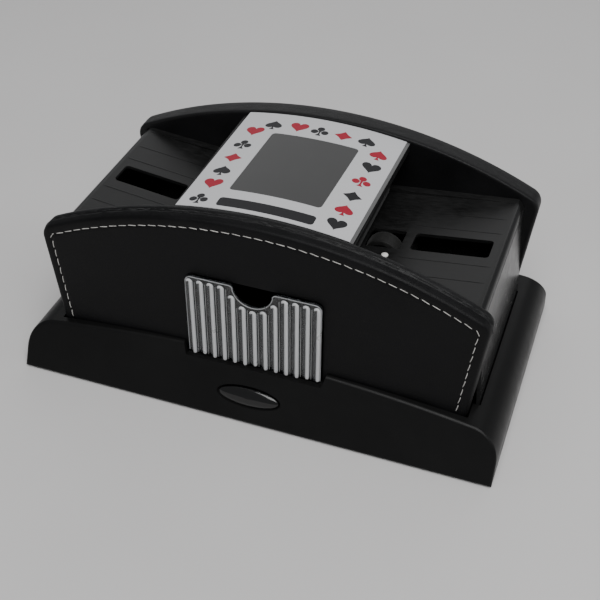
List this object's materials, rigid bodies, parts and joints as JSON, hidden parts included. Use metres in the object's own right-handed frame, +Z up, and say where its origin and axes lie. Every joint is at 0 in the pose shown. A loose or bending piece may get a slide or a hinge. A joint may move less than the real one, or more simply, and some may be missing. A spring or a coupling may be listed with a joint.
{
  "type": "automatic card shuffler",
  "caption": "Battery-driven card shuffler with sloping side trays, arched leather panels, a clear cover and a ribbed clear drawer.",
  "frame": {"origin": "bottom centre of the box round the whole shuffler, on the surface that its feet stand on", "axes": "+Z up, -Y towards the user at the drawer front, +X to the user's right along the two trays"},
  "size_m": [0.244, 0.143, 0.1071],
  "materials": {
    "base_plastic": "satin moulded black",
    "base_underside": "fine textured black",
    "foot_rubber": "matte",
    "steel": "bright zinc",
    "leather": "black grained leatherette, white stitching",
    "panel_wrap": "black leatherette over board",
    "tray_plastic": "dark grey black, satin floor and glossy end wall",
    "inner_plastic": "black",
    "gate_rubber": "matte black",
    "clear_plastic": "clear, polished",
    "label_card": "glossy white print with card suits",
    "window_grey": "smoked grey, polished",
    "drawer_clear": "clear, polished",
    "button_gloss": "high gloss black",
    "nylon": "natural white",
    "gear_black": "black acetal",
    "tyre_rubber": "dark grey, matte",
    "brass": "bright",
    "cell_wrap": "glossy sleeve",
    "board_green": "solder mask",
    "switch_red": "gloss",
    "wire_red": "pvc insulation"
  },
  "bodies": {
    "housing": {"base_shell": "base_plastic", "bottom_plate": "base_underside", "rubber_feet": "foot_rubber", "base_screws": "steel", "chassis_screws": "steel", "battery_box": "inner_plastic", "batteries": "cell_wrap", "contact_springs": "steel", "contact_plates": "brass", "switch_body": "inner_plastic", "circuit_board": "board_green", "chassis": "inner_plastic", "front_board": "panel_wrap", "rear_board": "panel_wrap", "front_leather": "leather", "rear_leather": "leather", "panel_screws": "steel", "left_tray": "tray_plastic", "right_tray": "tray_plastic", "tray_pins": "nylon", "clear_cover": "clear_plastic", "suit_card": "label_card", "window_pane": "window_grey", "cover_frame": "inner_plastic", "left_gate": "gate_rubber", "right_gate": "gate_rubber", "wire_harness": "wire_red", "gear_studs": "steel", "left_shaft_bushes": "nylon", "left_motor_can": "steel", "left_motor_cap": "gear_black", "left_motor_bracket": "steel", "right_shaft_bushes": "nylon", "right_motor_can": "steel", "right_motor_cap": "gear_black", "right_motor_bracket": "steel"},
    "card_drawer": {"card_drawer": "drawer_clear"},
    "start_button": {"start_button": "button_gloss", "switch_plunger": "switch_red"},
    "battery_door": {"battery_door": "base_underside"},
    "left_roller": {"left_feed_shaft": "steel", "left_roller_hub": "gear_black", "left_roller_tyre": "tyre_rubber", "left_roller_gear": "gear_black"},
    "left_idler": {"left_idler_gear": "gear_black"},
    "left_compound": {"left_compound_gear": "gear_black"},
    "left_rotor": {"left_motor_shaft": "steel", "left_motor_pinion": "brass"},
    "right_roller": {"right_feed_shaft": "steel", "right_roller_hub": "gear_black", "right_roller_tyre": "tyre_rubber", "right_roller_gear": "gear_black"},
    "right_idler": {"right_idler_gear": "gear_black"},
    "right_compound": {"right_compound_gear": "gear_black"},
    "right_rotor": {"right_motor_shaft": "steel", "right_motor_pinion": "brass"}
  },
  "joints": [
    {"name": "drawer_slide", "type": "slide", "parent": "housing", "child": "card_drawer", "axis": [0, -1, 0], "range_m": [0, 0.095]},
    {"name": "start_press", "type": "slide", "parent": "housing", "child": "start_button", "axis": [0, 0.9119, -0.4104], "range_m": [0, 0.0015], "stiffness_N_per_m": 600, "springref_m": -0.0005},
    {"name": "battery_door_lift", "type": "slide", "parent": "housing", "child": "battery_door", "axis": [0, 0, -1], "range_m": [0, 0.03]},
    {"name": "left_roller_spin", "type": "hinge", "parent": "housing", "child": "left_roller", "pos_m": [-0.046, 0, 0.0674], "axis": [0, 1, 0], "continuous": true},
    {"name": "left_idler_spin", "type": "hinge", "parent": "housing", "child": "left_idler", "pos_m": [-0.05685, 0, 0.05447], "axis": [0, 1, 0], "continuous": true},
    {"name": "left_compound_spin", "type": "hinge", "parent": "housing", "child": "left_compound", "pos_m": [-0.07269, 0, 0.05168], "axis": [0, 1, 0], "continuous": true},
    {"name": "left_rotor_spin", "type": "hinge", "parent": "housing", "child": "left_rotor", "pos_m": [-0.08273, 0, 0.03429], "axis": [0, 1, 0], "continuous": true},
    {"name": "right_roller_spin", "type": "hinge", "parent": "housing", "child": "right_roller", "pos_m": [0.046, 0, 0.0674], "axis": [0, 1, 0], "continuous": true},
    {"name": "right_idler_spin", "type": "hinge", "parent": "housing", "child": "right_idler", "pos_m": [0.05685, 0, 0.05447], "axis": [0, 1, 0], "continuous": true},
    {"name": "right_compound_spin", "type": "hinge", "parent": "housing", "child": "right_compound", "pos_m": [0.07269, 0, 0.05168], "axis": [0, 1, 0], "continuous": true},
    {"name": "right_rotor_spin", "type": "hinge", "parent": "housing", "child": "right_rotor", "pos_m": [0.08273, 0, 0.03429], "axis": [0, 1, 0], "continuous": true}
  ],
  "couplings": [
    {"joint": "left_idler_spin", "follows": "left_roller_spin", "ratio": -0.4},
    {"joint": "left_compound_spin", "follows": "left_roller_spin", "ratio": 1.2},
    {"joint": "left_rotor_spin", "follows": "left_roller_spin", "ratio": -4.8},
    {"joint": "right_idler_spin", "follows": "right_roller_spin", "ratio": -0.4},
    {"joint": "right_compound_spin", "follows": "right_roller_spin", "ratio": 1.2},
    {"joint": "right_rotor_spin", "follows": "right_roller_spin", "ratio": -4.8}
  ]
}
